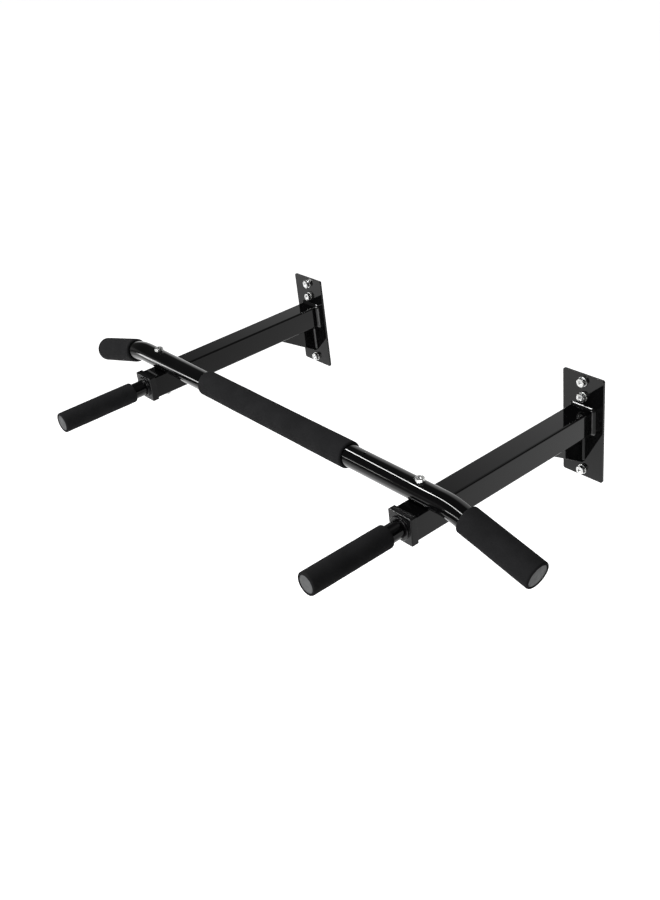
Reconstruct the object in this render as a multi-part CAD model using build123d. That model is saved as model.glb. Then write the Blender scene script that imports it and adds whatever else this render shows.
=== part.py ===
from build123d import *
import os
from math import cos, radians, sin

os.makedirs("parts", exist_ok=True)

# Wall-mounted pull-up bar. Two welded wall brackets carry one steel bar across the tops of
# their square arms, and a short handle stands out of the front end of each arm.
# Frame: the wall is the plane Y = 0 and the room is on its -Y side. X runs along the bar and
# Z is up. The origin is midway between the two wall plates, at their mid-height.
# Left and right are those of a person who faces the wall.

SIDES = {"left": -1, "right": 1}

# Wall plates
plate_width = 75.0
plate_height = 176.0
plate_thickness = 4.0
plate_corner_radius = 3.0

# Square arms
arm_spacing = 650.0
arm_size = 40.0
arm_wall = 2.0
arm_corner_radius = 3.0
arm_length = 375.0
arm_top_z = 34.0

# Gussets under the arms
gusset_thickness = 4.0
gusset_reach = 88.0
gusset_drop = 56.0
gusset_snipe = 8.0
gusset_nose = 3.0

# Weld beads
arm_weld_leg = 5.0
gusset_weld_leg = 3.0
weld_tip_land = 0.3

# Pull-up bar
bar_diameter = 33.7
bar_wall = 2.0
bar_reach = 340.0
bend_x = 382.0
bend_angle = 15.0
bend_radius = 120.0
bent_length = 150.0
vent_hole_diameter = 4.0
vent_hole_x = 214.0

# Foam grips: one on the middle of the bar, one on each bent end, one on each handle
foam_thickness = 4.0
foam_edge_radius = 2.5
foam_gap = 0.05
centre_grip_length = 360.0
end_grip_start = 27.0
handle_grip_length = 138.0

# Front handles
handle_diameter = 26.9
handle_wall = 2.0
handle_reach = 163.0
handle_inner_length = 63.0

# Arm end caps
cap_size = 44.0
cap_corner_radius = 2.0
cap_face_thickness = 3.0
cap_sleeve_depth = 8.5
cap_edge_radius = 1.2
cap_plug_depth = 22.0
collar_diameter = 36.0
collar_height = 3.5
collar_edge_radius = 1.2
guide_length = 14.0

# Round end plugs of the bar and the handles
plug_flange = 2.5
plug_recess = 0.5
plug_edge_radius = 0.8
plug_stem_length = 18.0
plug_stem_wall = 2.0
plug_rib_count = 3
plug_rib_pitch = 5.0
plug_rib_width = 1.6
plug_rib_height = 0.4

# M8 fasteners. Where a thread runs in a nut, its mean radius stands for it.
shank_radius = 4.0
thread_mean_radius = 3.6
thread_chamfer = 0.8
hex_across_flats = 13.0
hex_chamfer = 0.7
head_height = 5.3
head_dish_radius = 3.2
head_dish_floor_radius = 1.9
head_dish_depth = 2.2
bolt_hole_diameter = 9.0
bar_bolt_length = 85.0
bar_bolt_thread_length = 22.0
washer_diameter = 16.0
washer_hole_diameter = 8.4
washer_thickness = 1.6
lock_nut_hex_height = 6.0
lock_nut_collar_height = 2.0
lock_nut_collar_radius = 5.6
first_head_turn = 12.0
head_turn_step = 23.0

# M8 bolts that hold the plates to the wall. Behind each plate they screw into inserts that
# belong to the wall. Their shanks are reduced to the thread's mean radius in the plates.
wall_bolt_depth = 9.0
outer_bolt_z = 76.0
upper_bolt_z = 50.5

fit_gap = 0.05
radius_tolerance = 0.01
weld_taper = 45

# Worked out from the sizes above
arm_bottom_z = arm_top_z - arm_size
arm_centre_z = arm_top_z - arm_size / 2
arm_front_y = -(plate_thickness + arm_length)
cap_front_y = arm_front_y - cap_face_thickness
bar_radius = bar_diameter / 2
bar_y = -bar_reach
bar_z = arm_top_z + bar_radius
handle_radius = handle_diameter / 2
handle_inner_y = arm_front_y + handle_inner_length
handle_end_y = cap_front_y - handle_reach
arm_inside = arm_size - 2 * arm_wall
wall_bolt_heights = (outer_bolt_z, upper_bolt_z, -outer_bolt_z)
hex_corner_radius = hex_across_flats / 2 / cos(radians(30))


def facing_room(x, y, z):
    """A sketch plane at this point whose normal points away from the wall, with Z up on it."""
    return Plane(origin=(x, y, z), x_dir=(1, 0, 0), z_dir=(0, -1, 0))


def rounded_bar(plane, size, corner_radius, length):
    """A solid square bar that starts on the plane and runs along its normal."""
    return extrude(plane * RectangleRounded(size, size, corner_radius), amount=length)


def rod(plane, radius, length):
    """A solid round rod that starts on the plane and runs along its normal."""
    return extrude(plane * Circle(radius), amount=length)


def pipe(plane, outer_radius, inner_radius, length):
    """A round tube that starts on the plane and runs along its normal."""
    return extrude(plane * (Circle(outer_radius) - Circle(inner_radius)), amount=length)


def round_off(part, edge_radius, circle_radius):
    """Rounds the circular edges of one radius."""
    circles = part.edges().filter_by(GeomType.CIRCLE)
    chosen = [edge for edge in circles if abs(edge.radius - circle_radius) < radius_tolerance]
    return fillet(chosen, edge_radius)


def upright_hole(x, y, diameter):
    """A cutter for a vertical hole right through the arm or the bar."""
    return Pos(x, y, arm_top_z) * Cylinder(diameter / 2, 2 * (arm_size + bar_diameter))


def hexagon(plane, height, turn=0):
    """A hexagonal prism, turned by this many degrees, with its corners chamfered at both ends."""
    prism = extrude(plane * RegularPolygon(hex_corner_radius, 6, rotation=turn), amount=height)
    turned = rod(plane, hex_corner_radius, height)
    return prism & chamfer(turned.edges().filter_by(GeomType.CIRCLE), hex_chamfer)


def bolt_head(plane, turn=0):
    """A hexagon head whose outer face is dished in the middle."""
    dish_floor = plane.offset(head_height - head_dish_depth)
    dish = loft([dish_floor * Circle(head_dish_floor_radius),
                 plane.offset(head_height) * Circle(head_dish_radius)])
    return hexagon(plane, head_height, turn) - dish


# ---- Wall brackets -------------------------------------------------------------------------

def wall_plate(x):
    sketch = RectangleRounded(plate_width, plate_height, plate_corner_radius)
    plate = extrude(facing_room(x, 0, 0) * sketch, amount=plate_thickness)
    for height in wall_bolt_heights:
        plate -= rod(facing_room(x, 0, height), bolt_hole_diameter / 2, plate_thickness)
    return plate


def arm_tube(x):
    start = facing_room(x, -plate_thickness, arm_centre_z)
    outside = rounded_bar(start, arm_size, arm_corner_radius, arm_length)
    inside = rounded_bar(start, arm_inside, arm_corner_radius - arm_wall, arm_length)
    return outside - inside - upright_hole(x, bar_y, bolt_hole_diameter)


def arm_weld(x):
    """The fillet weld that runs round the arm where it meets the plate."""
    start = facing_room(x, -plate_thickness, arm_centre_z)
    foot_size = arm_size + 2 * arm_weld_leg
    foot = RectangleRounded(foot_size, foot_size, arm_corner_radius + arm_weld_leg)
    bead = extrude(start * foot, amount=arm_weld_leg - weld_tip_land, taper=weld_taper)
    return bead - rounded_bar(start, arm_size, arm_corner_radius, arm_weld_leg)


def gusset(x):
    """A triangular rib under the arm. Its inner corner is cut off to clear the arm's weld."""
    wall = -plate_thickness
    outline = [
        (wall - gusset_snipe, arm_bottom_z),
        (wall - gusset_reach, arm_bottom_z),
        (wall - gusset_reach, arm_bottom_z - gusset_nose),
        (wall - gusset_nose, arm_bottom_z - gusset_drop),
        (wall, arm_bottom_z - gusset_drop),
        (wall, arm_bottom_z - gusset_snipe),
    ]
    face = Plane.YZ.offset(x - gusset_thickness / 2) * make_face(Polyline(*outline, close=True))
    return extrude(face, amount=gusset_thickness)


def gusset_welds(x):
    """Fillet welds on both faces of the gusset, along the plate and along the arm."""
    leg = gusset_weld_leg
    wall = -plate_thickness
    upright_length = gusset_drop - gusset_snipe - gusset_nose
    level_length = gusset_reach - gusset_snipe - gusset_nose
    beads = []
    for side in SIDES.values():
        face_x = x + side * gusset_thickness / 2
        low = Plane.XY.offset(arm_bottom_z - gusset_drop + gusset_nose)
        corners = [(face_x, wall), (face_x + side * leg, wall), (face_x, wall - leg)]
        upright = extrude(low * make_face(Polyline(*corners, close=True)), amount=upright_length)
        start = facing_room(face_x, wall - gusset_snipe, arm_bottom_z)
        corners = [(0, 0), (side * leg, 0), (0, -leg)]
        level = extrude(start * make_face(Polyline(*corners, close=True)), amount=level_length)
        beads += [upright, level]
    return beads


# ---- Front handles -------------------------------------------------------------------------

def arm_end_cap(x):
    """A square cap over the arm's front end. Its plug and collar carry the handle tube."""
    sleeve_start = facing_room(x, arm_front_y + cap_sleeve_depth, arm_centre_z)
    cap = rounded_bar(sleeve_start, cap_size, cap_corner_radius, cap_sleeve_depth + cap_face_thickness)
    cap = fillet(cap.faces().sort_by(Axis.Y)[0].edges(), cap_edge_radius)
    pocket = rounded_bar(sleeve_start, arm_size + 2 * fit_gap, arm_corner_radius, cap_sleeve_depth)
    plug_start = facing_room(x, arm_front_y + cap_plug_depth, arm_centre_z)
    plug = rounded_bar(plug_start, arm_inside - 2 * fit_gap, arm_corner_radius - arm_wall, cap_plug_depth)
    collar = rod(facing_room(x, cap_front_y, arm_centre_z), collar_diameter / 2, collar_height)
    collar = fillet(collar.faces().sort_by(Axis.Y)[0].edges(), collar_edge_radius)
    whole_length = cap_plug_depth + cap_face_thickness + collar_height
    bore = rod(plug_start, handle_radius + fit_gap, whole_length)
    return cap - pocket + plug + collar - bore


def handle_guide(x):
    """A square block inside the arm that holds the handle tube's inner end central."""
    start = facing_room(x, handle_inner_y, arm_centre_z)
    block = rounded_bar(start, arm_inside - 2 * fit_gap, arm_corner_radius - arm_wall, guide_length)
    return block - rod(start, handle_radius + fit_gap, guide_length)


def handle_tube(x):
    start = facing_room(x, handle_inner_y, arm_centre_z)
    length = handle_inner_y - handle_end_y - plug_flange - plug_recess
    tube = pipe(start, handle_radius, handle_radius - handle_wall, length)
    return tube - upright_hole(x, bar_y, bolt_hole_diameter)


# ---- Pull-up bar ---------------------------------------------------------------------------

def bend_point(side):
    return Vector(side * bend_x, bar_y, bar_z)


def bent_direction(side):
    angle = radians(bend_angle)
    return Vector(side * cos(angle), 0, -sin(angle))


def bent_end(side, distance):
    """A sketch plane across the bent end, this far past the bend and facing outwards."""
    direction = bent_direction(side)
    return Plane(origin=bend_point(side) + direction * distance, x_dir=(0, 1, 0), z_dir=direction)


def pull_up_bar():
    tube_end = bent_length - plug_flange - plug_recess
    path = FilletPolyline(
        bend_point(-1) + bent_direction(-1) * tube_end,
        bend_point(-1),
        bend_point(1),
        bend_point(1) + bent_direction(1) * tube_end,
        radius=bend_radius,
    )
    start = Plane(path ^ 0)
    outside = sweep(start * Circle(bar_radius), path=path)
    inside = sweep(start * Circle(bar_radius - bar_wall), path=path)
    bar = outside - inside
    for side in SIDES.values():
        bar -= upright_hole(side * arm_spacing / 2, bar_y, bolt_hole_diameter)
    vent = rod(Plane(origin=(vent_hole_x, bar_y, bar_z)), vent_hole_diameter / 2, bar_diameter)
    return bar - vent


# ---- Foam grips and end plugs --------------------------------------------------------------

def foam_grip(plane, tube_radius, length):
    outer_radius = tube_radius + foam_thickness
    sleeve = pipe(plane, outer_radius, tube_radius + foam_gap, length)
    return round_off(sleeve, foam_edge_radius, outer_radius)


def end_plug(plane, tube_radius, tube_wall):
    """A round plug. The plane is the tube's cut end, with its normal pointing out of the tube."""
    flange = round_off(rod(plane, tube_radius, plug_flange), plug_edge_radius, tube_radius)
    stem_radius = tube_radius - tube_wall - fit_gap - plug_rib_height
    inner = plane.offset(-plug_stem_length)
    plug = flange + pipe(inner, stem_radius, stem_radius - plug_stem_wall, plug_stem_length)
    rib_inner_radius = stem_radius - plug_stem_wall
    for index in range(plug_rib_count):
        rib_plane = plane.offset(-plug_rib_pitch * (index + 1))
        plug += pipe(rib_plane, stem_radius + plug_rib_height, rib_inner_radius, plug_rib_width)
    return plug


def handle_cut_end(x):
    return facing_room(x, handle_end_y + plug_flange + plug_recess, arm_centre_z)


# ---- Fasteners -----------------------------------------------------------------------------

def washer(plane):
    return pipe(plane, washer_diameter / 2, washer_hole_diameter / 2, washer_thickness)


def bar_bolt(x):
    """A hexagon bolt that stands upright through the bar, the arm and the handle tube."""
    seat = Plane.XY.offset(bar_z + bar_radius).move(Location((x, bar_y, 0)))
    thread = rod(seat.offset(-bar_bolt_length), thread_mean_radius, bar_bolt_thread_length)
    thread = chamfer(thread.faces().sort_by(Axis.Z)[0].edges(), thread_chamfer)
    shank_length = bar_bolt_length - bar_bolt_thread_length
    shank = rod(seat.offset(-shank_length), shank_radius, shank_length)
    return bolt_head(seat) + shank + thread


def arm_washer(x):
    return washer(Plane(origin=(x, bar_y, arm_bottom_z), z_dir=(0, 0, -1)))


def lock_nut(x):
    """A nut with a plastic locking ring, under the arm."""
    start = Plane(origin=(x, bar_y, arm_bottom_z - washer_thickness), z_dir=(0, 0, -1))
    nut = hexagon(start, lock_nut_hex_height)
    nut += rod(start.offset(lock_nut_hex_height), lock_nut_collar_radius, lock_nut_collar_height)
    bore_radius = thread_mean_radius + fit_gap
    return nut - rod(start, bore_radius, lock_nut_hex_height + lock_nut_collar_height)


def wall_bolt(x, z, turn):
    """A hexagon bolt through the plate. Its thread shows behind the plate."""
    seat = facing_room(x, -(plate_thickness + washer_thickness), z)
    end = facing_room(x, wall_bolt_depth, z)
    thread = rod(end, shank_radius, wall_bolt_depth)
    thread = chamfer(thread.faces().sort_by(Axis.Y)[-1].edges(), thread_chamfer)
    shank = rod(facing_room(x, 0, z), thread_mean_radius, plate_thickness + washer_thickness)
    return bolt_head(seat, turn) + shank + thread


def wall_washer(x, z):
    return washer(facing_room(x, -plate_thickness, z))


# ---- The assembly --------------------------------------------------------------------------

def save(name, *solids):
    """Writes one node: one solid, or a group of like pieces as separate solids."""
    shape = solids[0] if len(solids) == 1 else Compound(children=list(solids))
    shape.label = name
    export_step(shape, f"parts/{name}.step")


def build_side(name, side):
    x = side * arm_spacing / 2
    save(f"wall_plate_{name}", wall_plate(x))
    save(f"arm_tube_{name}", arm_tube(x))
    save(f"arm_weld_{name}", arm_weld(x))
    save(f"gusset_{name}", gusset(x))
    save(f"gusset_welds_{name}", *gusset_welds(x))
    save(f"arm_end_cap_{name}", arm_end_cap(x))
    save(f"handle_guide_{name}", handle_guide(x))
    save(f"handle_tube_{name}", handle_tube(x))
    grip_start = facing_room(x, handle_end_y + handle_grip_length, arm_centre_z)
    save(f"handle_grip_{name}", foam_grip(grip_start, handle_radius, handle_grip_length))
    save(f"handle_end_plug_{name}", end_plug(handle_cut_end(x), handle_radius, handle_wall))
    end_grip_length = bent_length - end_grip_start
    save(f"bar_grip_{name}", foam_grip(bent_end(side, end_grip_start), bar_radius, end_grip_length))
    bar_cut_end = bent_end(side, bent_length - plug_flange - plug_recess)
    save(f"bar_end_plug_{name}", end_plug(bar_cut_end, bar_radius, bar_wall))


def build_bar():
    save("pull_up_bar", pull_up_bar())
    grip_start = Plane(origin=(-centre_grip_length / 2, bar_y, bar_z), z_dir=(1, 0, 0))
    save("bar_grip_centre", foam_grip(grip_start, bar_radius, centre_grip_length))


def build_fasteners():
    arm_xs = [side * arm_spacing / 2 for side in SIDES.values()]
    save("bar_bolts", *[bar_bolt(x) for x in arm_xs])
    save("arm_washers", *[arm_washer(x) for x in arm_xs])
    save("lock_nuts", *[lock_nut(x) for x in arm_xs])
    places = [(x, z) for x in arm_xs for z in wall_bolt_heights]
    turns = [first_head_turn + head_turn_step * index for index in range(len(places))]
    save("wall_bolts", *[wall_bolt(x, z, turn) for (x, z), turn in zip(places, turns)])
    save("wall_washers", *[wall_washer(x, z) for x, z in places])


for side_name, side_sign in SIDES.items():
    build_side(side_name, side_sign)
build_bar()
build_fasteners()
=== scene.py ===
"""Finished look of the wall-mounted pull-up bar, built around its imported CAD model.

Shapes are worked out in millimetres in the CAD's own frame and turned into metres when their meshes are
made. The wall is the plane Y = 0, the room is on its -Y side, X runs along the bar and Z is up.
"""

import math

import bmesh
import bpy
import numpy as np
from mathutils import Matrix, Vector, noise


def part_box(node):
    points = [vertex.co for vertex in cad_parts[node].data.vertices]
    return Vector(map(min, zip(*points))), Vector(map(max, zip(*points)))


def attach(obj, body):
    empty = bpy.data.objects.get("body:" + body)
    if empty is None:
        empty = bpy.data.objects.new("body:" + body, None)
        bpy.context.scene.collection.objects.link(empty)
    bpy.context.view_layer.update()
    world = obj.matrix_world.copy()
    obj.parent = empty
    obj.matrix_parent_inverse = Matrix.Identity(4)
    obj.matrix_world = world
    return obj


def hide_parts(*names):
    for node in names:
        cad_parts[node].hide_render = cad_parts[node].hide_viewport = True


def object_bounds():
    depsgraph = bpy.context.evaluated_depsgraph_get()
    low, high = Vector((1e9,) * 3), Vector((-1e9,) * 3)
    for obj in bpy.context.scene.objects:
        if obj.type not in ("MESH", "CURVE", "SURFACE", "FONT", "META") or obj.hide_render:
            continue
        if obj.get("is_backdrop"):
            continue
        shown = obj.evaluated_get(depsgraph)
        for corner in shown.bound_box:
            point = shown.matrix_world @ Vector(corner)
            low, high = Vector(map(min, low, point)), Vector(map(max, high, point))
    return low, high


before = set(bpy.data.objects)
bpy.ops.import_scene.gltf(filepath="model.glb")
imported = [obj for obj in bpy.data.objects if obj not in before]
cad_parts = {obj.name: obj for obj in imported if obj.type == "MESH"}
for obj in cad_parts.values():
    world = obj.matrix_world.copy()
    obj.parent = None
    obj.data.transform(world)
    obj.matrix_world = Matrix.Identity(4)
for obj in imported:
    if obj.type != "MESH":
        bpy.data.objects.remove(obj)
cad_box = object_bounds()
scene = bpy.context.scene

MM = 0.001
SIDES = {"left": -1, "right": 1}
AROUND = 96                        # points round a tube or a disc
UP = np.array((0.0, 0.0, 1.0))
ALONG = np.array((1.0, 0.0, 0.0))
OUT = np.array((0.0, -1.0, 0.0))   # out of the wall, into the room
SHARP_ANGLE = math.radians(38)


# ---- Sizes, in millimetres ---------------------------------------------------------------------

def box(node):
    """Lowest and highest corner of a CAD node."""
    low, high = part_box(node)
    return np.array(low) / MM, np.array(high) / MM


def middle(node):
    low, high = box(node)
    return (low + high) / 2


ARM_X = {side: middle(f"arm_tube_{side}")[0] for side in SIDES}
ARM_LOW, ARM_HIGH = box("arm_tube_right")
ARM_SIZE = ARM_HIGH[0] - ARM_LOW[0]
ARM_CORNER = 3.0
ARM_CENTRE_Z = (ARM_LOW[2] + ARM_HIGH[2]) / 2
PLATE_FRONT_Y = box("wall_plate_right")[0][1]

BAR_RADIUS = 16.85
BAR_WALL = 2.0
BAR_Y = middle("pull_up_bar")[1]
BAR_Z = ARM_HIGH[2] + BAR_RADIUS
BAR_ROW_STEP = 6.0                 # longest step between the rows of points along the bar
BEND_X = 382.0
BEND_ANGLE = math.radians(15.0)
BEND_RADIUS = 120.0
TUBE_PAST_BEND = 147.0

HANDLE_RADIUS = 13.45
HANDLE_WALL = 2.0
HANDLE_ROW_STEP = 8.0

VENT_X = 214.0
VENT_RADIUS = 2.0
BOLT_HOLE_RADIUS = 4.5
HOLE_EDGE = 0.35                   # width of a drilled hole's softened edge
HOLE_EDGE_DEPTH = 0.3
HOLE_MARGIN = 0.7                  # room kept round a hole in the tube's grid of points

FOAM_THICKNESS = 4.0
FOAM_GAP = 0.05
FOAM_EDGE = 2.6
FOAM_INNER_EDGE = 0.5
FOAM_STEP = 1.6
FOAM_WAVE = 34.0                   # length of the slow unevenness of the skin
FOAM_DIMPLE = 5.0
FOAM_RIM_WAVE = 9.0
FOAM_RIM_DEPTH = 6.0
END_GRIP_START = 27.0
END_GRIP_END = 150.0

CAP_SIZE = 44.0
CAP_CORNER = 2.0
CAP_FACE = 3.0
CAP_DEPTH = 11.5                   # from the front face to the rim
CAP_POCKET = 40.1
CAP_PLUG_SIZE = 35.9
CAP_PLUG_CORNER = 1.0
CAP_RIM = ((0.0, 0.3), (0.12, 0.06), (0.35, 0.0))   # (in front of the rim, in from the side)
CAP_EDGE = (                       # (behind the front face, in from the side)
    (1.3, 0.0), (1.1, 0.05), (0.88, 0.14), (0.68, 0.26), (0.48, 0.4),
    (0.3, 0.56), (0.13, 0.76), (0.03, 0.92), (0.0, 1.15),
)
COLLAR_RADIUS = 18.0
COLLAR_HEIGHT = 3.5
COLLAR_FOOT = 0.6                  # radius of the hollow where the collar meets the face
COLLAR_EDGE = 1.2
BORE_GAP = 0.05
BORE_EDGE = ((0.5, 0.0), (0.15, 0.15), (0.0, 0.5))   # (wider than the bore, behind the collar's end)

PLUG_FLANGE = 2.5
PLUG_EDGE = 0.8
PLUG_DOME = 0.35
PLUG_FACE_DEPTH = 0.4              # how far the solid face reaches into the tube
PLUG_GAP = 0.05
PLUG_RIB_HEIGHT = 0.4
PLUG_RIB_PITCH = 5.0
PLUG_STEM_LENGTH = 18.0
PLUG_STEM_WALL = 2.0

ARM_BEAD_LEG = 4.7
ARM_BEAD_STEP = 0.28
GUSSET_BEAD_LEG = 2.9
GUSSET_BEAD_STEP = 0.25
BEAD_POINTS = 11                   # points across a weld bead
BEAD_ROOT = 0.3                    # how far a bead's edges sink into the steel
BEAD_RIPPLE_LENGTH = 1.7
BEAD_RIPPLE = 0.07
BEAD_SWELL = 0.06
BEAD_WANDER = 0.025
BEAD_RUN_IN = 2.2                  # length over which a straight bead grows to its full size

HEX_POINTS = 72
HEX_FLATS = 13.0
HEX_CONE = 0.955                   # flat round face of a hexagon, as a part of its width across flats
HEX_SLOPE = math.radians(26)
WASHER_RADIUS = 8.0
WASHER_HOLE = 4.2
WASHER_THICKNESS = 1.6
HEAD_DISH = (                      # (radius, depth) of the dish in a bolt's head
    (3.5, 0.0), (3.3, 0.06), (3.12, 0.22), (2.25, 1.75), (2.05, 2.02), (1.7, 2.14), (0.7, 2.2),
)
THREAD_POINTS = 48
THREAD_ROOT = 3.3
THREAD_CREST = 3.96
THREAD_PITCH = 1.25
THREAD_ROWS = 7                    # rows of points in one pitch
THREAD_TIP = 3.0
SHANK_RADIUS = 4.0
WALL_SHANK_RADIUS = 3.6
BAR_BOLT_THREAD = 22.0
BAR_BOLT_TURN = {"left": math.radians(38), "right": math.radians(11)}
WALL_BOLT_HEIGHTS = (76.0, 50.5, -76.0)
NUT_HEIGHT = 6.0
NUT_BORE = 3.65
NUT_CHAMFER = 0.7
NUT_COLLAR_RADIUS = 5.6
NUT_COLLAR_FOOT = 5.6
NUT_COLLAR_TOP = 8.0

PLATE_EDGE = 0.45
ARM_EDGE = 0.25


# ---- Materials ---------------------------------------------------------------------------------

class Nodes:
    """A short way to write a node tree that works in object coordinates, which here are metres."""

    def __init__(self, name):
        self.material = bpy.data.materials.new(name)
        self.material.use_nodes = True
        self.tree = self.material.node_tree
        self.shader = self.tree.nodes["Principled BSDF"]
        self.coords = self.tree.nodes.new("ShaderNodeTexCoord").outputs["Object"]

    def link(self, source, target):
        self.tree.links.new(source, target)

    def noise(self, scale, detail=3.0, roughness=0.55, distortion=0.0):
        node = self.tree.nodes.new("ShaderNodeTexNoise")
        node.inputs["Scale"].default_value = scale
        node.inputs["Detail"].default_value = detail
        node.inputs["Roughness"].default_value = roughness
        node.inputs["Distortion"].default_value = distortion
        self.link(self.coords, node.inputs["Vector"])
        return node.outputs["Fac"]

    def cells(self, scale, feature="F1"):
        node = self.tree.nodes.new("ShaderNodeTexVoronoi")
        node.feature = feature
        node.inputs["Scale"].default_value = scale
        self.link(self.coords, node.inputs["Vector"])
        return node.outputs["Distance"]

    def spread(self, value, low, high, to_low, to_high):
        """The value's range low..high stretched to to_low..to_high and kept inside it."""
        node = self.tree.nodes.new("ShaderNodeMapRange")
        node.inputs["From Min"].default_value = low
        node.inputs["From Max"].default_value = high
        node.inputs["To Min"].default_value = to_low
        node.inputs["To Max"].default_value = to_high
        self.link(value, node.inputs["Value"])
        return node.outputs["Result"]

    def math(self, operation, first, second):
        node = self.tree.nodes.new("ShaderNodeMath")
        node.operation = operation
        for socket, value in zip(node.inputs, (first, second)):
            if isinstance(value, (int, float)):
                socket.default_value = value
            else:
                self.link(value, socket)
        return node.outputs["Value"]

    def blend(self, factor, first, second):
        """Two colours mixed by a factor."""
        node = self.tree.nodes.new("ShaderNodeMix")
        node.data_type = "RGBA"
        colours = [socket for socket in node.inputs if socket.type == "RGBA"]
        colours[0].default_value = (*first, 1.0)
        colours[1].default_value = (*second, 1.0)
        self.link(factor, node.inputs["Factor"])
        return next(socket for socket in node.outputs if socket.type == "RGBA")

    def bump(self, layers):
        """Bump layers of (height, strength, depth in metres), each on top of the one before."""
        normal = None
        for height, strength, depth in layers:
            node = self.tree.nodes.new("ShaderNodeBump")
            node.inputs["Strength"].default_value = strength
            node.inputs["Distance"].default_value = depth
            self.link(height, node.inputs["Height"])
            if normal:
                self.link(normal, node.inputs["Normal"])
            normal = node.outputs["Normal"]
        self.link(normal, self.shader.inputs["Normal"])

    def set(self, **values):
        for name, value in values.items():
            self.shader.inputs[name.replace("_", " ")].default_value = value


def coat_material(name, dark, light, roughness, peel, specular):
    """Gloss black coating: faint orange peel, cloudy roughness and a few dust nibs."""
    n = Nodes(name)
    clouds = n.noise(9.0, 4.0)
    n.link(n.blend(n.spread(clouds, 0.3, 0.7, 0, 1), dark, light), n.shader.inputs["Base Color"])
    smears = n.noise(55.0, 5.0, 0.6, 0.4)
    n.link(n.spread(smears, 0.3, 0.75, *roughness), n.shader.inputs["Roughness"])
    nibs = n.spread(n.cells(210.0), 0.0, 0.06, 1.0, 0.0)
    n.bump([(n.noise(420.0, 2.0), peel, 0.00003), (nibs, 0.05, 0.00003)])
    n.set(Specular_IOR_Level=specular)
    return n.material


def foam_material():
    """Closed-cell foam: a matt skin of fine cells, a little dustier and lighter in places."""
    n = Nodes("grip_foam_cells")
    fine = n.noise(1500.0, 3.0, 0.7)
    patches = n.noise(38.0, 4.0)
    tone = n.math("MULTIPLY", n.spread(fine, 0.35, 0.7, 0.35, 1.0), n.spread(patches, 0.3, 0.7, 0.6, 1.0))
    n.link(n.blend(tone, (0.0053, 0.0053, 0.0056), (0.0205, 0.0205, 0.0215)), n.shader.inputs["Base Color"])
    n.link(n.spread(fine, 0.3, 0.7, 0.82, 1.0), n.shader.inputs["Roughness"])
    pores = n.spread(n.cells(850.0), 0.0, 0.5, 0.0, 1.0)
    n.bump([(n.noise(160.0, 3.0), 0.35, 0.0004), (pores, 0.45, 0.00025), (fine, 0.5, 0.0002)])
    n.set(Specular_IOR_Level=0.06)
    return n.material


def plastic_material(name, dark, light, roughness, grain, specular):
    """Moulded plastic with a fine eroded grain and faint flow clouds."""
    n = Nodes(name)
    flow = n.noise(70.0, 4.0, 0.6, 0.8)
    n.link(n.blend(n.spread(flow, 0.3, 0.7, 0, 1), dark, light), n.shader.inputs["Base Color"])
    n.link(n.spread(n.noise(240.0, 4.0), 0.3, 0.7, *roughness), n.shader.inputs["Roughness"])
    n.bump([(n.noise(2600.0, 2.0, 0.6), grain, 0.00006), (n.noise(110.0, 2.0), 0.05, 0.0001)])
    n.set(Specular_IOR_Level=specular)
    return n.material


def zinc_material():
    """Bright zinc plate over turned steel: faint machining marks and a few duller patches."""
    n = Nodes("bright_zinc_plate")
    patches = n.noise(260.0, 5.0, 0.6, 0.5)
    colour = n.blend(n.spread(patches, 0.35, 0.7, 0, 1), (0.80, 0.81, 0.82), (0.60, 0.60, 0.57))
    n.link(colour, n.shader.inputs["Base Color"])
    n.link(n.spread(n.noise(420.0, 4.0), 0.3, 0.7, 0.17, 0.36), n.shader.inputs["Roughness"])
    n.bump([(n.noise(1900.0, 3.0), 0.2, 0.00004), (n.noise(300.0, 2.0), 0.12, 0.00008)])
    n.set(Metallic=1.0)
    return n.material


MATERIALS = {
    "black_coat": coat_material(
        "gloss_black_coat", dark=(0.0012, 0.0012, 0.0013), light=(0.0026, 0.0026, 0.0028),
        roughness=(0.035, 0.075), peel=0.025, specular=0.3),
    "coated_weld": coat_material(
        "black_coat_on_weld", dark=(0.002, 0.002, 0.0021), light=(0.004, 0.004, 0.0042),
        roughness=(0.08, 0.12), peel=0.03, specular=0.5),
    "grip_foam": foam_material(),
    "cap_plastic": plastic_material(
        "cap_black_plastic", dark=(0.0018, 0.0018, 0.0019), light=(0.0042, 0.0042, 0.0045),
        roughness=(0.15, 0.21), grain=0.02, specular=0.3),
    "plug_plastic": plastic_material(
        "plug_grey_plastic", dark=(0.056, 0.057, 0.059), light=(0.073, 0.075, 0.077),
        roughness=(0.42, 0.6), grain=0.3, specular=0.4),
    "guide_plastic": plastic_material(
        "guide_black_plastic", dark=(0.012, 0.012, 0.013), light=(0.022, 0.022, 0.023),
        roughness=(0.35, 0.5), grain=0.3, specular=0.4),
    "zinc_steel": zinc_material(),
}


# ---- Mesh helpers ------------------------------------------------------------------------------

def add_piece(name, parts, slot, nodes, weighted=True):
    """One piece from several closed (points, faces) solids. It stands for the named CAD nodes."""
    bm = bmesh.new()
    for points, faces in parts:
        made = [bm.verts.new(Vector(p) * MM) for p in points]
        for face in faces:
            bm.faces.new([made[k] for k in face])
    bmesh.ops.remove_doubles(bm, verts=bm.verts, dist=2e-7)
    bmesh.ops.dissolve_degenerate(bm, edges=bm.edges, dist=1e-8)
    bmesh.ops.recalc_face_normals(bm, faces=bm.faces)
    mesh = bpy.data.meshes.new(name)
    bm.to_mesh(mesh)
    bm.free()
    return finish_piece(name, mesh, slot, nodes, weighted)


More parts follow.
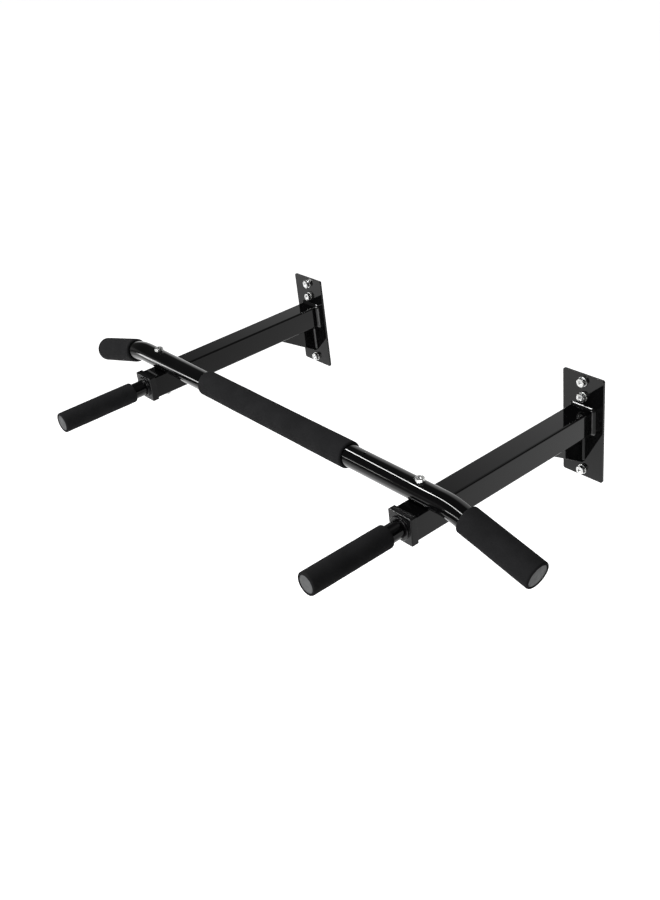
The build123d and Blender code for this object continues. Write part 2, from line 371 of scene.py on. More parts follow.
def finish_piece(name, mesh, slot, nodes, weighted=True):
    """Smooth shading, material (the one listed for its slot), body and stand-in of a new piece."""
    mesh.polygons.foreach_set("use_smooth", [True] * len(mesh.polygons))
    mesh.set_sharp_from_angle(angle=SHARP_ANGLE)
    mesh.materials.clear()
    mesh.materials.append(MATERIALS[slot])
    piece = bpy.data.objects.new(name, mesh)
    scene.collection.objects.link(piece)
    if weighted:
        modifier = piece.modifiers.new("flat faces stay flat", "WEIGHTED_NORMAL")
        modifier.keep_sharp = True
    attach(piece, "root")
    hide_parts(*nodes)
    return piece


def quads(first, second):
    """Faces between two closed loops of vertex numbers."""
    count = len(first)
    return [(first[k], first[(k + 1) % count], second[(k + 1) % count], second[k]) for k in range(count)]


def loft(rings, wrap=True):
    """Faces between rings of equally many points. Without wrap, the end rings are closed with caps."""
    count = len(rings[0])
    loops = [range(start, start + count) for start in range(0, len(rings) * count, count)]
    faces = []
    for first, second in zip(loops, loops[1:]):
        faces += quads(first, second)
    if wrap:
        faces += quads(loops[-1], loops[0])
    else:
        faces += [tuple(loops[0]), tuple(loops[-1])]
    return np.concatenate(rings), faces


def circle(radius, count=AROUND, turn=0.0):
    angles = turn + np.arange(count) * 2 * math.pi / count
    return np.stack([radius * np.cos(angles), radius * np.sin(angles)], axis=1)


def square(size, corner, per_corner=8, per_side=16):
    """Points round a rounded square, for lofting to a circle with as many points."""
    half = size / 2 - corner
    points = []
    for quarter in range(4):
        start = quarter * math.pi / 2
        turn = np.array(((math.cos(start), -math.sin(start)), (math.sin(start), math.cos(start))))
        arc = start + np.arange(per_corner) / per_corner * math.pi / 2
        centre = turn @ np.array((half, half))
        points += [centre + corner * np.array((math.cos(a), math.sin(a))) for a in arc]
        first = turn @ np.array((half, half + corner))
        last = turn @ np.array((-half, half + corner))
        points += [first + (last - first) * k / per_side for k in range(per_side)]
    return np.array(points)


def circle_like(outline, radius):
    """A circle whose points lie in the same directions as the outline's points."""
    return outline / np.linalg.norm(outline, axis=1)[:, None] * radius


def lift(flat, height, origin, u, v, axis):
    """Flat points (a, b) at a height along the axis, placed in the frame."""
    return origin + flat[:, :1] * u + flat[:, 1:] * v + height * axis


def rounded(corners, steps=5):
    """A closed outline from (a, b, corner radius) points, with each corner turned into an arc."""
    points = []
    for k, (a, b, radius) in enumerate(corners):
        here = np.array((a, b), float)
        if radius <= 0:
            points.append(here)
            continue
        back = np.array(corners[k - 1][:2], float) - here
        ahead = np.array(corners[(k + 1) % len(corners)][:2], float) - here
        back /= np.linalg.norm(back)
        ahead /= np.linalg.norm(ahead)
        half = math.acos(np.clip(back @ ahead, -1, 1)) / 2
        centre = here + (back + ahead) / np.linalg.norm(back + ahead) * radius / math.sin(half)
        start = here + back * radius / math.tan(half) - centre
        end = here + ahead * radius / math.tan(half) - centre
        sweep = math.atan2(start[0] * end[1] - start[1] * end[0], start @ end)
        for step in range(steps + 1):
            angle = sweep * step / steps
            c, s = math.cos(angle), math.sin(angle)
            points.append(centre + np.array((c * start[0] - s * start[1], s * start[0] + c * start[1])))
    return points


def turned(profile, origin, axis, count=AROUND):
    """A turned solid from a closed outline of (radius, height) points."""
    axis = np.array(axis, float)
    u = ALONG if abs(axis @ ALONG) < 0.9 else UP
    u = u - (u @ axis) * axis
    u = u / np.linalg.norm(u)
    v = np.cross(axis, u)
    origin = np.array(origin, float)
    return loft([lift(circle(max(r, 0.0), count), h, origin, u, v, axis) for r, h in profile])


# ---- Tubes with drilled holes ------------------------------------------------------------------

def holed_tube(place, stations, outer, inner, holes):
    """A tube along a path, with drilled holes. place(station, angle, radius) gives a point.

    A hole is a row and a column of the tube's grid of points, a radius and a reach. The grid is opened that
    far round it, on both skins, and joined to a round edge.
    """
    points, faces, skins = [], [], []
    step = 2 * math.pi / AROUND
    last = len(stations) - 1
    for radius in (outer, inner):
        skins.append(len(points))
        points += [place(s, k * step, radius) for s in stations for k in range(AROUND)]

    def loop(base, row):
        return range(base + row * AROUND, base + (row + 1) * AROUND)

    opened = {
        (i, k % AROUND)
        for row, column, _, reach in holes
        for i in range(row - reach, row + reach)
        for k in range(column - reach, column + reach)
    }
    for base in skins:
        for i in range(last):
            band = quads(loop(base, i), loop(base, i + 1))
            faces += [face for k, face in enumerate(band) if (i, k) not in opened]
    for i in (0, last):
        faces += quads(loop(skins[0], i), loop(skins[1], i))
    for row, column, radius, reach in holes:
        border = [(-reach, k) for k in range(-reach, reach)] + [(i, reach) for i in range(-reach, reach)]
        border += [(-i, -k) for i, k in border]
        edges = []
        edge_radii = (outer - HOLE_EDGE_DEPTH, inner + HOLE_EDGE_DEPTH)
        for base, skin, edge_radius in zip(skins, (outer, inner), edge_radii):
            loops = [[base + (row + i) * AROUND + (column + k) % AROUND for i, k in border]]
            for hole_radius, skin_radius in ((radius + HOLE_EDGE, skin), (radius, edge_radius)):
                loops.append(range(len(points), len(points) + len(border)))
                for i, k in border:
                    way = math.atan2(k, i)
                    side = math.asin(hole_radius * math.sin(way) / skin_radius)
                    station = stations[row] + hole_radius * math.cos(way)
                    points.append(place(station, column * step + side, skin_radius))
            for first, second in zip(loops, loops[1:]):
                faces += quads(first, second)
            edges.append(loops[-1])
        faces += quads(*edges)
    return points, faces


def hole_reach(radius, inner):
    """How many grid steps from a hole's centre its opened patch goes."""
    return math.ceil((radius + HOLE_MARGIN) / (inner * 2 * math.pi / AROUND))


def stations_with(start, end, spacing, hole_places):
    """Places along a tube: about evenly spaced, and a fine even grid round each hole."""
    marks = [start]
    rows = []
    for centre, reach, fine in hole_places:
        low = centre - reach * fine
        steps = max(1, math.ceil((low - marks[-1]) / spacing))
        marks += list(np.linspace(marks[-1], low, steps + 1)[1:])
        rows.append(len(marks) - 1 + reach)
        marks += list(np.linspace(low, centre + reach * fine, 2 * reach + 1)[1:])
    steps = max(1, math.ceil((end - marks[-1]) / spacing))
    marks += list(np.linspace(marks[-1], end, steps + 1)[1:])
    return marks, rows


def bar_place(station, angle, radius):
    """A point on the bar: straight in the middle, with both ends bent down."""
    side = 1 if station >= 0 else -1
    tangent = BEND_RADIUS * math.tan(BEND_ANGLE / 2)
    past = abs(station) - (BEND_X - tangent)
    if past <= 0:
        x, z, turn = abs(station), BAR_Z, 0.0
    else:
        turn = min(past / BEND_RADIUS, BEND_ANGLE)
        rest = max(0.0, past - BEND_RADIUS * BEND_ANGLE)
        x = BEND_X - tangent + BEND_RADIUS * math.sin(turn) + rest * math.cos(turn)
        z = BAR_Z - BEND_RADIUS * (1 - math.cos(turn)) - rest * math.sin(turn)
    up = np.array((side * math.sin(turn), 0.0, math.cos(turn)))
    return np.array((side * x, BAR_Y, z)) + radius * (math.cos(angle) * up + math.sin(angle) * OUT)


def build_bar():
    tangent = BEND_RADIUS * math.tan(BEND_ANGLE / 2)
    half = BEND_X - tangent + BEND_RADIUS * BEND_ANGLE + TUBE_PAST_BEND - tangent
    inner = BAR_RADIUS - BAR_WALL
    bolt_reach, vent_reach = hole_reach(BOLT_HOLE_RADIUS, inner), hole_reach(VENT_RADIUS, inner)
    fine = BAR_RADIUS * 2 * math.pi / AROUND
    left_bolt, right_bolt = ((ARM_X[side], bolt_reach, fine) for side in SIDES)
    spots = [left_bolt, (VENT_X, vent_reach, fine), right_bolt]
    marks, rows = stations_with(-half, half, BAR_ROW_STEP, spots)
    top, bottom = 0, AROUND // 2
    holes = [
        (rows[0], top, BOLT_HOLE_RADIUS, bolt_reach),
        (rows[0], bottom, BOLT_HOLE_RADIUS, bolt_reach),
        (rows[1], top, VENT_RADIUS, vent_reach),
        (rows[2], top, BOLT_HOLE_RADIUS, bolt_reach),
        (rows[2], bottom, BOLT_HOLE_RADIUS, bolt_reach),
    ]
    tube = holed_tube(bar_place, marks, BAR_RADIUS, inner, holes)
    add_piece("pull_up_bar_tube", [tube], "black_coat", ["pull_up_bar"])


def build_handle_tube(side):
    low, high = box(f"handle_tube_{side}")
    inner = HANDLE_RADIUS - HANDLE_WALL

    def place(station, angle, radius):
        centre = np.array((ARM_X[side], -station, ARM_CENTRE_Z))
        return centre + radius * (math.cos(angle) * UP + math.sin(angle) * ALONG)

    reach = hole_reach(BOLT_HOLE_RADIUS, inner)
    fine = HANDLE_RADIUS * 2 * math.pi / AROUND
    marks, rows = stations_with(-high[1], -low[1], HANDLE_ROW_STEP, [(-BAR_Y, reach, fine)])
    holes = [(rows[0], 0, BOLT_HOLE_RADIUS, reach), (rows[0], AROUND // 2, BOLT_HOLE_RADIUS, reach)]
    tube = holed_tube(place, marks, HANDLE_RADIUS, inner, holes)
    add_piece(f"handle_tube_{side}_pipe", [tube], "black_coat", [f"handle_tube_{side}"])


# ---- Foam grips --------------------------------------------------------------------------------

def foam_grip(name, start, direction, length, tube_radius, node, seed):
    """A foam sleeve with soft rounded rims. Its skin is a little uneven, as cut foam tube is."""
    inner = tube_radius + FOAM_GAP
    outer = tube_radius + FOAM_THICKNESS
    corners = [(inner, 0, FOAM_INNER_EDGE), (outer, 0, FOAM_EDGE)]
    corners += [(outer, length, FOAM_EDGE), (inner, length, FOAM_INNER_EDGE)]
    outline = rounded(corners, 9)
    profile = []
    for a, b in zip(outline, outline[1:] + outline[:1]):
        steps = max(1, math.ceil(np.linalg.norm(b - a) / FOAM_STEP))
        profile += [a + (b - a) * k / steps for k in range(steps)]
    points, faces = turned(profile, start, direction)
    axis = np.array(direction, float)
    moved = []
    for p in points:
        along = (p - start) @ axis
        spoke = p - start - along * axis
        radius = np.linalg.norm(spoke)
        depth = (radius - inner) / FOAM_THICKNESS
        where = Vector(p) + Vector((seed * 71.0, 0, 0))
        slow = noise.noise(where / FOAM_WAVE)
        quick = noise.noise(where / FOAM_DIMPLE)
        dent = 0.16 + 0.17 * slow + 0.07 * quick
        rim = noise.noise(where / FOAM_RIM_WAVE + Vector((0, seed * 13.0, 0)))
        inward = 1 if along < length / 2 else -1
        pull = (0.12 + 0.14 * rim) * inward
        near_rim = max(0.0, 1 - min(along, length - along) / FOAM_RIM_DEPTH)
        moved.append(p - spoke / radius * dent * depth + axis * pull * near_rim * depth)
    piece = add_piece(name, [(moved, faces)], "grip_foam", [node], weighted=False)


def build_grips():
    low, high = box("bar_grip_centre")
    start = np.array((low[0], BAR_Y, BAR_Z))
    foam_grip("centre_grip_foam", start, ALONG, high[0] - low[0], BAR_RADIUS, "bar_grip_centre", 1)
    for seed, (side, sign) in enumerate(SIDES.items(), start=2):
        direction = np.array((sign * math.cos(BEND_ANGLE), 0, -math.sin(BEND_ANGLE)))
        bend = np.array((sign * BEND_X, BAR_Y, BAR_Z))
        start = bend + direction * END_GRIP_START
        length = END_GRIP_END - END_GRIP_START
        foam_grip(f"end_grip_foam_{side}", start, direction, length, BAR_RADIUS, f"bar_grip_{side}", seed)
        low, high = box(f"handle_grip_{side}")
        start = np.array((ARM_X[side], high[1], ARM_CENTRE_Z))
        length = high[1] - low[1]
        foam_grip(f"handle_foam_{side}", start, OUT, length, HANDLE_RADIUS, f"handle_grip_{side}", seed + 2)


# ---- Plastic parts -----------------------------------------------------------------------------

def end_plug(name, cut_end, direction, tube_radius, wall, node):
    """A round plug: slightly domed face with a softened edge, and a hollow ribbed stem in the tube."""
    rib = tube_radius - wall - PLUG_GAP
    stem = rib - PLUG_RIB_HEIGHT
    bore = stem - PLUG_STEM_WALL
    corners = [(0, PLUG_FLANGE, 0), (tube_radius * 0.55, PLUG_FLANGE - 0.12, 4.0)]
    corners += [(tube_radius, PLUG_FLANGE - PLUG_DOME, PLUG_EDGE), (tube_radius, 0, 0.2), (stem, 0, 0)]
    for index in (1, 2, 3):
        far = -PLUG_RIB_PITCH * index
        corners += [(stem, far + 1.6, 0), (rib, far + 1.3, 0.15), (rib, far + 0.3, 0.15), (stem, far, 0)]
    corners += [(stem, -PLUG_STEM_LENGTH, 0.4), (bore, -PLUG_STEM_LENGTH, 0.4)]
    corners += [(bore, -PLUG_FACE_DEPTH, 0), (0, -PLUG_FACE_DEPTH, 0)]
    add_piece(name, [turned(rounded(corners, 4), cut_end, direction)], "plug_plastic", [node])


def build_plugs():
    for side, sign in SIDES.items():
        direction = np.array((sign * math.cos(BEND_ANGLE), 0, -math.sin(BEND_ANGLE)))
        cut_end = np.array((sign * BEND_X, BAR_Y, BAR_Z)) + direction * TUBE_PAST_BEND
        end_plug(f"bar_plug_{side}", cut_end, direction, BAR_RADIUS, BAR_WALL, f"bar_end_plug_{side}")
        tube_end = box(f"handle_tube_{side}")[0][1]
        cut_end = np.array((ARM_X[side], tube_end, ARM_CENTRE_Z))
        end_plug(f"handle_plug_{side}", cut_end, OUT, HANDLE_RADIUS, HANDLE_WALL, f"handle_end_plug_{side}")


def build_cap(side):
    """The arm's square end cap with its round collar, as rings from its rim round to its inner plug."""
    low, high = box(f"arm_end_cap_{side}")
    front = low[1] + COLLAR_HEIGHT
    rim = front + CAP_DEPTH
    origin = np.array((ARM_X[side], 0, ARM_CENTRE_Z))
    outer = square(CAP_SIZE, CAP_CORNER)
    rings = []

    def ring(flat, y):
        rings.append(lift(flat, -y, origin, ALONG, UP, OUT))

    def square_ring(inset, y):
        ring(square(CAP_SIZE - 2 * inset, CAP_CORNER - inset), y)

    def round_ring(radius, y):
        ring(circle_like(outer, radius), y)

    ring(square(CAP_POCKET, ARM_CORNER), rim)
    for drop, inset in CAP_RIM:
        square_ring(inset, rim - drop)
    for drop, inset in CAP_EDGE:
        square_ring(inset, front + drop)
    round_ring(COLLAR_RADIUS + 1.5 * COLLAR_FOOT, front)
    for angle in np.linspace(0, math.pi / 2, 5)[1:]:
        foot = COLLAR_FOOT * (1 - math.sin(angle))
        round_ring(COLLAR_RADIUS + foot, front - COLLAR_FOOT * (1 - math.cos(angle)))
    for angle in np.linspace(0, math.pi / 2, 7):
        inset = COLLAR_EDGE * (1 - math.cos(angle))
        round_ring(COLLAR_RADIUS - inset, low[1] + COLLAR_EDGE * (1 - math.sin(angle)))
    bore = HANDLE_RADIUS + BORE_GAP
    for widening, drop in BORE_EDGE:
        round_ring(bore + widening, low[1] + drop)
    round_ring(bore, high[1])
    for y in (high[1], front + CAP_FACE):
        ring(square(CAP_PLUG_SIZE, CAP_PLUG_CORNER), y)
    ring(square(CAP_POCKET, ARM_CORNER), front + CAP_FACE)
    add_piece(f"end_cap_{side}", [loft(rings)], "cap_plastic", [f"arm_end_cap_{side}"])


# ---- Weld beads --------------------------------------------------------------------------------

def bead(places, legs, ring_shaped, seed):
    """A weld bead of overlapping ripples, laid along places of (corner, first way, second way)."""
    rings = []
    travelled = 0.0
    before = places[0][0]
    for (corner, first, second), leg in zip(places, legs):
        travelled += np.linalg.norm(corner - before)
        before = corner
        wander = noise.noise(Vector((travelled / 7.0, seed * 3.7, 0)))
        drift = noise.noise(Vector((travelled / 2.2, seed * 5.1, 4)))
        size = leg * (1 + BEAD_WANDER * wander)
        section = [corner - BEAD_ROOT * first - BEAD_ROOT * second]
        for k in range(BEAD_POINTS):
            t = k / (BEAD_POINTS - 1)
            swell = 4 * t * (1 - t)
            phase = (0.25 * drift + 0.45 * swell - travelled / BEAD_RIPPLE_LENGTH) % 1.0
            ripple = BEAD_RIPPLE * (1 - (1 - phase) ** 2) * min(1.0, swell * 2.2)
            lump = leg * (BEAD_SWELL * swell) + ripple * leg / 5 - BEAD_SWELL * leg
            a = size * (1 - t) + lump * 0.7 - (BEAD_ROOT if k == BEAD_POINTS - 1 else 0)
            b = size * t + lump * 0.7 - (BEAD_ROOT if k == 0 else 0)
            section.append(corner + a * first + b * second)
        rings.append(np.array(section))
    return loft(rings, wrap=ring_shaped)


def arm_bead(side, seed):
    """The bead round the arm's foot, on the plate."""
    corners = square(ARM_SIZE, ARM_CORNER, 12, 12)
    outline = []
    for start, end in zip(corners, np.roll(corners, -1, axis=0)):
        steps = max(1, math.ceil(np.linalg.norm(end - start) / ARM_BEAD_STEP))
        outline += [start + (end - start) * k / steps for k in range(steps)]
    flat = np.array(outline)
    ahead = np.roll(flat, -3, axis=0) - np.roll(flat, 3, axis=0)
    normals = np.stack([ahead[:, 1], -ahead[:, 0]], axis=1)
    normals /= np.linalg.norm(normals, axis=1)[:, None]
    places = []
    for (x, z), (nx, nz) in zip(flat, normals):
        corner = np.array((ARM_X[side] + x, PLATE_FRONT_Y, ARM_CENTRE_Z + z))
        places.append((corner, nx * ALONG + nz * UP, OUT))
    return bead(places, [ARM_BEAD_LEG] * len(places), True, seed)


def gusset_bead(start, end, first, second, seed):
    """A straight bead that thins out towards both ends."""
    length = np.linalg.norm(end - start)
    count = math.ceil(length / GUSSET_BEAD_STEP)
    places, legs = [], []
    for k in range(count + 1):
        t = k / count
        ends = min(t, 1 - t) * length
        places.append((start + (end - start) * t, first, second))
        legs.append(GUSSET_BEAD_LEG * (0.45 + 0.55 * min(1.0, ends / BEAD_RUN_IN) ** 0.5))
    return bead(places, legs, False, seed)


def build_welds(side, sign):
    node = f"arm_weld_{side}"
    add_piece(f"arm_weld_bead_{side}", [arm_bead(side, 3 + sign)], "coated_weld", [node], weighted=False)
    gusset_low, gusset_high = box(f"gusset_{side}")
    beads = []
    for index, (x, way) in enumerate(((gusset_low[0], -ALONG), (gusset_high[0], ALONG))):
        low = np.array((x, PLATE_FRONT_Y, gusset_low[2] + 3.0))
        high = np.array((x, PLATE_FRONT_Y, gusset_high[2] - 8.0))
        beads.append(gusset_bead(low, high, way, OUT, 10 + index + sign))
        near = np.array((x, PLATE_FRONT_Y - 8.0, gusset_high[2]))
        far = np.array((x, gusset_low[1] + 3.0, gusset_high[2]))
        beads.append(gusset_bead(near, far, way, -UP, 20 + index + sign))
    add_piece(f"gusset_weld_beads_{side}", beads, "coated_weld", [f"gusset_welds_{side}"], weighted=False)


# ---- Fasteners ---------------------------------------------------------------------------------

def axes_for(axis):
    """Two directions across an upright or level axis, and the axis itself."""
    axis = np.array(axis, float)
    return ALONG, np.cross(axis, ALONG), axis


def hexagon(origin, axis, height, turn, bore=0.0):
    """A hexagon with corners cut by a cone at both ends: a nut with a bore, or a dished head without one."""
    u, v, axis = axes_for(axis)
    ways = np.arange(HEX_POINTS) * 2 * math.pi / HEX_POINTS
    sector = (ways + math.pi / 6) % (math.pi / 3) - math.pi / 6
    reach = HEX_FLATS / 2 / np.cos(sector)
    cone = HEX_FLATS / 2 * HEX_CONE
    cut = (reach - cone) * math.tan(HEX_SLOPE)
    spokes = np.stack([np.cos(ways + turn), np.sin(ways + turn)], axis=1)

    def ring(radius, height_along):
        flat = spokes * np.reshape(radius, (-1, 1))
        heights = np.broadcast_to(height_along, (HEX_POINTS,))[:, None]
        return lift(flat, heights, np.array(origin, float), u, v, axis)

    rings = [ring(cone, 0.0), ring(reach, cut), ring(reach, height - cut), ring(cone, height)]
    if bore:
        mouth = bore + NUT_CHAMFER
        rings += [ring(mouth, height), ring(bore, height - NUT_CHAMFER)]
        rings += [ring(bore, NUT_CHAMFER), ring(mouth, 0.0)]
        return loft(rings)
    rings += [ring(radius, height - depth) for radius, depth in HEAD_DISH]
    return loft(rings, wrap=False)


def threaded_rod(origin, axis, length, plain, shank):
    """A round shank and then a thread: a true helical ridge, cut down to a chamfer at its far end."""
    u, v, axis = axes_for(axis)
    rows = math.ceil((length - plain) / (THREAD_PITCH / THREAD_ROWS))
    ways = np.arange(THREAD_POINTS) * 2 * math.pi / THREAD_POINTS
    rings = [lift(circle(shank, THREAD_POINTS), h, origin, u, v, axis) for h in (0.0, plain - 0.5)]
    for h in np.linspace(plain, length, rows + 1):
        phase = (h / THREAD_PITCH - ways / (2 * math.pi)) % 1.0
        ridge = np.clip((1 - np.abs(2 * phase - 1)) * 1.25 - 0.1, 0, 1)
        radius = THREAD_ROOT + (THREAD_CREST - THREAD_ROOT) * ridge * min(1.0, (h - plain) / 1.5 + 0.2)
        radius = np.minimum(radius, THREAD_TIP + (length - h))
        flat = np.stack([radius * np.cos(ways), radius * np.sin(ways)], axis=1)
        rings.append(lift(flat, h, origin, u, v, axis))
    return loft(rings, wrap=False)


def washer(origin, axis):
    back = [(WASHER_HOLE, 0, 0.15), (WASHER_RADIUS, 0, 0.2)]
    front = [(WASHER_RADIUS, WASHER_THICKNESS, 0.45), (WASHER_HOLE, WASHER_THICKNESS, 0.25)]
    return turned(rounded(back + front, 3), origin, axis)


def lock_nut(origin, axis, turn):
    """A hexagon nut with the round collar that holds its locking ring."""
    collar = [(NUT_BORE, NUT_COLLAR_FOOT, 0), (NUT_COLLAR_RADIUS, NUT_COLLAR_FOOT, 0)]
    collar += [(NUT_COLLAR_RADIUS, NUT_COLLAR_TOP, 0.7), (NUT_BORE, NUT_COLLAR_TOP, 0.3)]
    body = hexagon(origin, axis, NUT_HEIGHT, turn, bore=NUT_BORE)
    return [body, turned(rounded(collar, 4), origin, axis)]


def build_bar_bolts():
    """The two bolts down through the bar and the arms, each with a washer and a lock nut under its arm."""
    head_low = BAR_Z + BAR_RADIUS
    bolt_low, bolt_high = box("bar_bolts")
    nut_high = box("lock_nuts")[1]
    length = head_low - bolt_low[2]
    bolts, washers, nuts = [], [], []
    for side, turn in BAR_BOLT_TURN.items():
        seat = np.array((ARM_X[side], BAR_Y, head_low))
        nut_seat = (ARM_X[side], BAR_Y, nut_high[2])
        bolts.append(hexagon(seat, UP, bolt_high[2] - head_low, turn))
        bolts.append(threaded_rod(seat, -UP, length, length - BAR_BOLT_THREAD, SHANK_RADIUS))
        washers.append(washer((ARM_X[side], BAR_Y, nut_high[2] + WASHER_THICKNESS), -UP))
        nuts += lock_nut(nut_seat, -UP, -turn)
    add_piece("bar_bolts_m8", bolts, "zinc_steel", ["bar_bolts"])
    add_piece("arm_washers_m8", washers, "zinc_steel", ["arm_washers"])
    add_piece("lock_nuts_m8", nuts, "zinc_steel", ["lock_nuts"])


def build_wall_bolts():
    """Three bolts on each plate, each turned its own way."""
    bolt_low, bolt_high = box("wall_bolts")
    seat_y = box("wall_washers")[0][1]
    bolts, washers = [], []
    places = [(ARM_X[side], z) for side in SIDES for z in WALL_BOLT_HEIGHTS]
    for index, (x, z) in enumerate(places):
        seat = np.array((x, seat_y, z))
        bolts.append(hexagon(seat, OUT, seat_y - bolt_low[1], math.radians(12 + 23 * index)))
        bolts.append(threaded_rod(seat, -OUT, bolt_high[1] - seat_y, -seat_y, WALL_SHANK_RADIUS))
        washers.append(washer((x, PLATE_FRONT_Y, z), OUT))
    add_piece("wall_bolts_m8", bolts, "zinc_steel", ["wall_bolts"])
    add_piece("wall_washers_m8", washers, "zinc_steel", ["wall_washers"])


# ---- Flat steel parts --------------------------------------------------------------------------

def build_softened(node, edge):
    """A copy of a CAD node with its cut edges slightly rounded, as a coated steel part's edges are."""
    bm = bmesh.new()
    bm.from_mesh(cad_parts[node].data)
    bmesh.ops.remove_doubles(bm, verts=bm.verts, dist=2e-6)
    bmesh.ops.dissolve_limit(bm, angle_limit=math.radians(0.5), verts=bm.verts, edges=bm.edges)
    bmesh.ops.recalc_face_normals(bm, faces=bm.faces)
    sharp = [e for e in bm.edges if len(e.link_faces) == 2 and e.calc_face_angle(0) > math.radians(40)]
    bmesh.ops.bevel(
        bm, geom=sharp, offset=edge * MM, segments=3, profile=0.5, affect="EDGES", clamp_overlap=True)
    name = f"{node}_steel"
    mesh = bpy.data.meshes.new(name)
    bm.to_mesh(mesh)
    bm.free()
    finish_piece(name, mesh, "black_coat", [node])


def build_brackets():
    for side, sign in SIDES.items():
        build_softened(f"wall_plate_{side}", PLATE_EDGE)
        build_softened(f"arm_tube_{side}", ARM_EDGE)
        build_softened(f"gusset_{side}", PLATE_EDGE)
        build_welds(side, sign)
        build_handle_tube(side)
        build_cap(side)


def paint_guides():
    """Gives the guide blocks inside the arms, which keep their CAD mesh, their own material."""
    for side in SIDES:
        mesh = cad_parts[f"handle_guide_{side}"].data
        mesh.materials.clear()
        mesh.materials.append(MATERIALS["guide_plastic"])


# ---- Floor, light and camera -------------------------------------------------------------------

FLOOR_Z = -1.15
FLOOR_RADIUS = 40.0
# painted light: these ramps set where the floor's own glow is brighter or dimmer
FLOOR_GLOW_RAMPS = {                    # axis, from, to, value at the start, value at the end
    "main_glow": ("Y", -3.2, -1.3, 0.0, 0.85),
    "right_dimming": ("Y", 0.2, 1.5, 0.85, 0.0),
    "right_side": ("X", 0.6, 1.2, 0.0, 1.0),
    "far_right": ("X", 1.6, 1.9, 0.0, 0.2),
    "front_dip": ("Y", -2.0, -1.48, 0.0, 0.65),
    "under_object": ("Y", -1.35, -1.1, 1.0, 0.0),
}

DIM_WAY = (-0.355, -0.608, 0.710)  # towards the dim side of the room
DIM_SIDE_START = 0.06
DIM_SIDE_END = 0.38
DIM_STRENGTH = (0.03, 0.22, 0.35, 0.07)        # over the height of the direction
BRIGHT_STRENGTH = (0.0, 0.5, 0.95, 0.12)       # over its way to the right

LIGHT_TARGET = Vector((0, -0.34, 0.05))
LIGHTS = {                         # start, end, width, radiance
    "strip_overhead": ((-2.29, -0.16, 2.3), (-1.60, -1.39, 2.3), 0.125, 44.0),
    "strip_overhead_right": ((-1.60, -1.39, 2.3), (0.10, -1.62, 2.3), 0.18, 46.0),
    "strip_low_right": ((-0.92, -2.5, -0.06), (-0.50, -2.5, 0.45), 0.05, 24.0),
    "strip_low": ((-1.72, -2.5, 0.19), (-2.72, -2.5, 0.10), 0.09, 16.0),
    "strip_leaning": ((-2.72, -2.5, 0.32), (-3.75, -2.5, -0.88), 0.17, 10.0),
    "soft_box_front": ((1.5, -3.3, 1.3), (-0.1, -3.3, 1.3), 1.2, 10.0),
    "soft_box_low_right": ((1.15, -2.2, -1.0), (1.85, -1.75, -1.0), 0.5, 3.0),
}

CAMERA_AZIMUTH = 0.93706028
CAMERA_ELEVATION = 0.53096482
CAMERA_ROLL = -0.12890672
CAMERA_DISTANCE = 1.7
CAMERA_TARGET = Vector((0.06112, -0.28627, -0.01124))
SENSOR_HEIGHT = 24.0
FOCAL_PIXELS = 1094.0
PHOTO_HEIGHT = 900


def build_floor():
    """A pale floor with painted light: its own emission glows though it is no lamp, strongest behind the
    object, and dimmed in front of it and to its right.
    """
    mesh = bpy.data.meshes.new("pale_floor")
    bm = bmesh.new()
    bmesh.ops.create_circle(bm, cap_ends=True, radius=FLOOR_RADIUS, segments=96)
    bm.to_mesh(mesh)
    bm.free()
    n = Nodes("pale_floor_painted_glow")
    tone = n.spread(n.noise(0.8, 3.0), 0.3, 0.7, 0, 1)
    n.link(n.blend(tone, (0.88, 0.88, 0.88), (0.91, 0.91, 0.91)), n.shader.inputs["Base Color"])
    n.link(n.spread(n.noise(30.0, 3.0), 0.3, 0.7, 0.8, 0.95), n.shader.inputs["Roughness"])
    split = n.tree.nodes.new("ShaderNodeSeparateXYZ")
    n.link(n.coords, split.inputs["Vector"])
    ramps = {name: n.spread(split.outputs[axis], *ends) for name, (axis, *ends) in FLOOR_GLOW_RAMPS.items()}
    right = n.math("MULTIPLY", ramps["right_dimming"], ramps["right_side"])
    front = n.math("MULTIPLY", ramps["front_dip"], ramps["under_object"])
    dimming = n.math("ADD", n.math("ADD", right, ramps["far_right"]), front)
    glow = n.math("MAXIMUM", n.math("SUBTRACT", ramps["main_glow"], dimming), 0.0)
    # painted light: the floor glows by its emission, stronger or weaker by place, though it is no lamp
    n.link(glow, n.shader.inputs["Emission Strength"])
    n.set(Specular_IOR_Level=0.0, Emission_Color=(1, 1, 1, 1))
    mesh.materials.append(n.material)
    floor = bpy.data.objects.new("pale_floor", mesh)
    floor.location = (0, 0, FLOOR_Z)
    scene.collection.objects.link(floor)
    floor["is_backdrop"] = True


def strip_light(name, start, end, width, radiance):
    """A rectangular light between two points, facing the bar and not seen by the camera itself."""
    start, end = Vector(start), Vector(end)
    middle_point = (start + end) / 2
    back = (middle_point - LIGHT_TARGET).normalized()
    along = end - start
    length = along.length
    along = (along - along.dot(back) * back).normalized()
    light = bpy.data.lights.new(name, "AREA")
    light.shape = "RECTANGLE"
    light.size = length
    light.size_y = width
    light.energy = radiance * math.pi * length * width
    holder = bpy.data.objects.new(name, light)
    across = back.cross(along)
    turn = Matrix((along, across, back)).transposed()
    holder.matrix_world = Matrix.Translation(middle_point) @ turn.to_4x4()
    holder.visible_camera = False
    scene.collection.objects.link(holder)


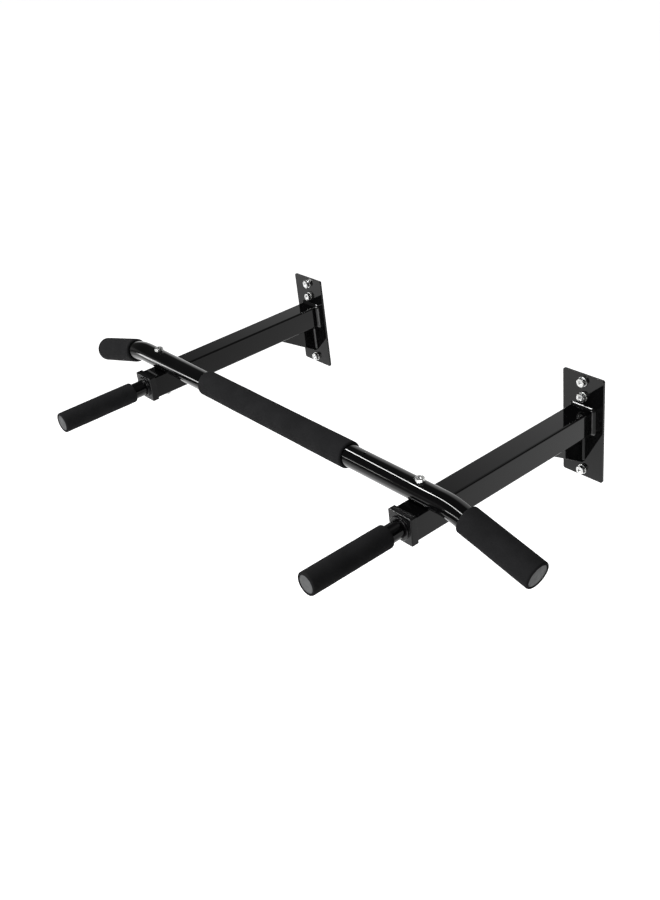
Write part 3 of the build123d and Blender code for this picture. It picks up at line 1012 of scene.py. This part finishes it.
def build_world():
    """Soft light from all round, dimmer on the side that the bar faces and towards the right."""
    world = bpy.data.worlds.new("studio")
    world.use_nodes = True
    tree = world.node_tree
    way = tree.nodes.new("ShaderNodeTexCoord").outputs["Generated"]
    dot = tree.nodes.new("ShaderNodeVectorMath")
    dot.operation = "DOT_PRODUCT"
    dot.inputs[1].default_value = DIM_WAY
    tree.links.new(way, dot.inputs[0])
    split = tree.nodes.new("ShaderNodeSeparateXYZ")
    tree.links.new(way, split.inputs["Vector"])

    def ramp(value, low, high, to_low, to_high):
        node = tree.nodes.new("ShaderNodeMapRange")
        node.interpolation_type = "SMOOTHSTEP"
        for name, number in zip(("From Min", "From Max"), (low, high)):
            node.inputs[name].default_value = number
        for name, source in zip(("To Min", "To Max"), (to_low, to_high)):
            if isinstance(source, float):
                node.inputs[name].default_value = source
            else:
                tree.links.new(source, node.inputs[name])
        tree.links.new(value, node.inputs["Value"])
        return node.outputs["Result"]

    dim_side = ramp(split.outputs["Z"], *DIM_STRENGTH)
    bright_side = ramp(split.outputs["X"], *BRIGHT_STRENGTH)
    strength = ramp(dot.outputs["Value"], DIM_SIDE_START, DIM_SIDE_END, bright_side, dim_side)
    background = tree.nodes["Background"]
    background.inputs["Color"].default_value = (1, 1, 1, 1)
    tree.links.new(strength, background.inputs["Strength"])
    scene.world = world


def build_light():
    build_world()
    for name, (start, end, width, radiance) in LIGHTS.items():
        strip_light(name, start, end, width, radiance)


def build_camera():
    back = Vector((
        math.sin(CAMERA_AZIMUTH) * math.cos(CAMERA_ELEVATION),
        -math.cos(CAMERA_AZIMUTH) * math.cos(CAMERA_ELEVATION),
        math.sin(CAMERA_ELEVATION),
    ))
    level = Vector((math.cos(CAMERA_AZIMUTH), math.sin(CAMERA_AZIMUTH), 0))
    upright = back.cross(level)
    right = math.cos(CAMERA_ROLL) * level + math.sin(CAMERA_ROLL) * upright
    up = -math.sin(CAMERA_ROLL) * level + math.cos(CAMERA_ROLL) * upright
    data = bpy.data.cameras.new("photo_camera")
    data.sensor_fit = "VERTICAL"
    data.sensor_height = SENSOR_HEIGHT
    data.lens = FOCAL_PIXELS / PHOTO_HEIGHT * SENSOR_HEIGHT
    data.clip_start = 0.05
    data.clip_end = 100
    camera = bpy.data.objects.new("photo_camera", data)
    camera.matrix_world = Matrix.Translation(CAMERA_TARGET + back * CAMERA_DISTANCE) @ Matrix((
        (right.x, up.x, back.x),
        (right.y, up.y, back.y),
        (right.z, up.z, back.z),
    )).to_4x4()
    scene.collection.objects.link(camera)
    scene.camera = camera


# ---- The scene ---------------------------------------------------------------------------------

build_bar()
build_grips()
build_plugs()
build_brackets()
build_bar_bolts()
build_wall_bolts()
paint_guides()
build_floor()
build_light()
build_camera()
scene.view_settings.view_transform = "Standard"

boxes = {"cad": cad_box, "visual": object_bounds()}
{name: [list(low), list(high)] for name, (low, high) in boxes.items()}
